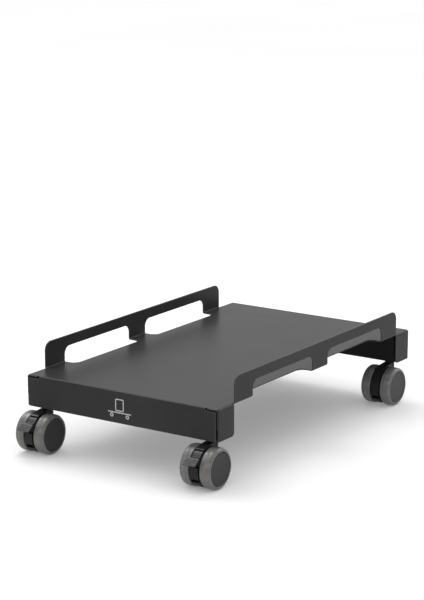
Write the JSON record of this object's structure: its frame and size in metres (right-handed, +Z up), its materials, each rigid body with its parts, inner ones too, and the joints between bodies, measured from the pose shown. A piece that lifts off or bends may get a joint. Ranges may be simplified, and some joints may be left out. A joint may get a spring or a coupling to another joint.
{
  "type": "computer tower stand",
  "caption": "Folded sheet-metal stand for a computer tower, with low slotted side rails and swivelling twin-wheel casters, the front pair with foot brakes.",
  "frame": {"origin": "on the floor under the middle of the whole stand's bounding box", "axes": "+X to the right seen from the front, +Y from the braked front casters to the rear, +Z up"},
  "size_m": [0.2856, 0.4894, 0.1283],
  "materials": {
    "powder_coat": "satin black powder coat, fine texture",
    "channel_coat": "satin black powder coat in shade",
    "zinc_plate": "bright zinc plate",
    "black_steel": "black oxide",
    "housing_plastic": "satin black moulded nylon",
    "lever_plastic": "satin charcoal moulded nylon",
    "core_plastic": "satin",
    "cap_plastic": "satin dark grey",
    "tread_rubber": "matt grey, slightly mottled"
  },
  "bodies": {
    "frame": {"deck": "powder_coat", "front_cross_channel": "channel_coat", "rear_cross_channel": "channel_coat", "front_left_stem": "black_steel", "front_left_snap_ring": "zinc_plate", "front_left_weld_nut": "zinc_plate", "front_right_stem": "black_steel", "front_right_snap_ring": "zinc_plate", "front_right_weld_nut": "zinc_plate", "rear_left_stem": "black_steel", "rear_left_snap_ring": "zinc_plate", "rear_left_weld_nut": "zinc_plate", "rear_right_stem": "black_steel", "rear_right_snap_ring": "zinc_plate", "rear_right_weld_nut": "zinc_plate"},
    "front_left_caster": {"front_left_housing": "housing_plastic", "front_left_axle": "zinc_plate", "front_left_brake_pin": "zinc_plate"},
    "front_left_brake": {"front_left_brake_lever": "lever_plastic"},
    "front_left_left_wheel": {"front_left_left_wheel_core": "core_plastic", "front_left_left_wheel_tread": "tread_rubber", "front_left_left_wheel_cap": "cap_plastic"},
    "front_left_right_wheel": {"front_left_right_wheel_core": "core_plastic", "front_left_right_wheel_tread": "tread_rubber", "front_left_right_wheel_cap": "cap_plastic"},
    "front_right_caster": {"front_right_housing": "housing_plastic", "front_right_axle": "zinc_plate", "front_right_brake_pin": "zinc_plate"},
    "front_right_brake": {"front_right_brake_lever": "lever_plastic"},
    "front_right_left_wheel": {"front_right_left_wheel_core": "core_plastic", "front_right_left_wheel_tread": "tread_rubber", "front_right_left_wheel_cap": "cap_plastic"},
    "front_right_right_wheel": {"front_right_right_wheel_core": "core_plastic", "front_right_right_wheel_tread": "tread_rubber", "front_right_right_wheel_cap": "cap_plastic"},
    "rear_left_caster": {"rear_left_housing": "housing_plastic", "rear_left_axle": "zinc_plate"},
    "rear_left_left_wheel": {"rear_left_left_wheel_core": "core_plastic", "rear_left_left_wheel_tread": "tread_rubber", "rear_left_left_wheel_cap": "cap_plastic"},
    "rear_left_right_wheel": {"rear_left_right_wheel_core": "core_plastic", "rear_left_right_wheel_tread": "tread_rubber", "rear_left_right_wheel_cap": "cap_plastic"},
    "rear_right_caster": {"rear_right_housing": "housing_plastic", "rear_right_axle": "zinc_plate"},
    "rear_right_left_wheel": {"rear_right_left_wheel_core": "core_plastic", "rear_right_left_wheel_tread": "tread_rubber", "rear_right_left_wheel_cap": "cap_plastic"},
    "rear_right_right_wheel": {"rear_right_right_wheel_core": "core_plastic", "rear_right_right_wheel_tread": "tread_rubber", "rear_right_right_wheel_cap": "cap_plastic"}
  },
  "joints": [
    {"name": "front_left_swivel", "type": "hinge", "parent": "frame", "child": "front_left_caster", "pos_m": [-0.1213, -0.1937, 0.0541], "axis": [0, 0, 1], "continuous": true},
    {"name": "front_left_brake_press", "type": "hinge", "parent": "front_left_caster", "child": "front_left_brake", "pos_m": [-0.1213, -0.21977, 0.03634], "axis": [1, 0, 0], "range_deg": [0, 12]},
    {"name": "front_left_left_wheel_spin", "type": "hinge", "parent": "front_left_caster", "child": "front_left_left_wheel", "pos_m": [-0.1213, -0.2092, 0.025], "axis": [1, 0, 0], "continuous": true},
    {"name": "front_left_right_wheel_spin", "type": "hinge", "parent": "front_left_caster", "child": "front_left_right_wheel", "pos_m": [-0.1213, -0.2092, 0.025], "axis": [1, 0, 0], "continuous": true},
    {"name": "front_right_swivel", "type": "hinge", "parent": "frame", "child": "front_right_caster", "pos_m": [0.1213, -0.1937, 0.0541], "axis": [0, 0, 1], "continuous": true},
    {"name": "front_right_brake_press", "type": "hinge", "parent": "front_right_caster", "child": "front_right_brake", "pos_m": [0.1213, -0.21977, 0.03634], "axis": [1, 0, 0], "range_deg": [0, 12]},
    {"name": "front_right_left_wheel_spin", "type": "hinge", "parent": "front_right_caster", "child": "front_right_left_wheel", "pos_m": [0.1213, -0.2092, 0.025], "axis": [1, 0, 0], "continuous": true},
    {"name": "front_right_right_wheel_spin", "type": "hinge", "parent": "front_right_caster", "child": "front_right_right_wheel", "pos_m": [0.1213, -0.2092, 0.025], "axis": [1, 0, 0], "continuous": true},
    {"name": "rear_left_swivel", "type": "hinge", "parent": "frame", "child": "rear_left_caster", "pos_m": [-0.1213, 0.2271, 0.0541], "axis": [0, 0, 1], "continuous": true},
    {"name": "rear_left_left_wheel_spin", "type": "hinge", "parent": "rear_left_caster", "child": "rear_left_left_wheel", "pos_m": [-0.1213, 0.2116, 0.025], "axis": [1, 0, 0], "continuous": true},
    {"name": "rear_left_right_wheel_spin", "type": "hinge", "parent": "rear_left_caster", "child": "rear_left_right_wheel", "pos_m": [-0.1213, 0.2116, 0.025], "axis": [1, 0, 0], "continuous": true},
    {"name": "rear_right_swivel", "type": "hinge", "parent": "frame", "child": "rear_right_caster", "pos_m": [0.1213, 0.2271, 0.0541], "axis": [0, 0, 1], "continuous": true},
    {"name": "rear_right_left_wheel_spin", "type": "hinge", "parent": "rear_right_caster", "child": "rear_right_left_wheel", "pos_m": [0.1213, 0.2116, 0.025], "axis": [1, 0, 0], "continuous": true},
    {"name": "rear_right_right_wheel_spin", "type": "hinge", "parent": "rear_right_caster", "child": "rear_right_right_wheel", "pos_m": [0.1213, 0.2116, 0.025], "axis": [1, 0, 0], "continuous": true}
  ]
}
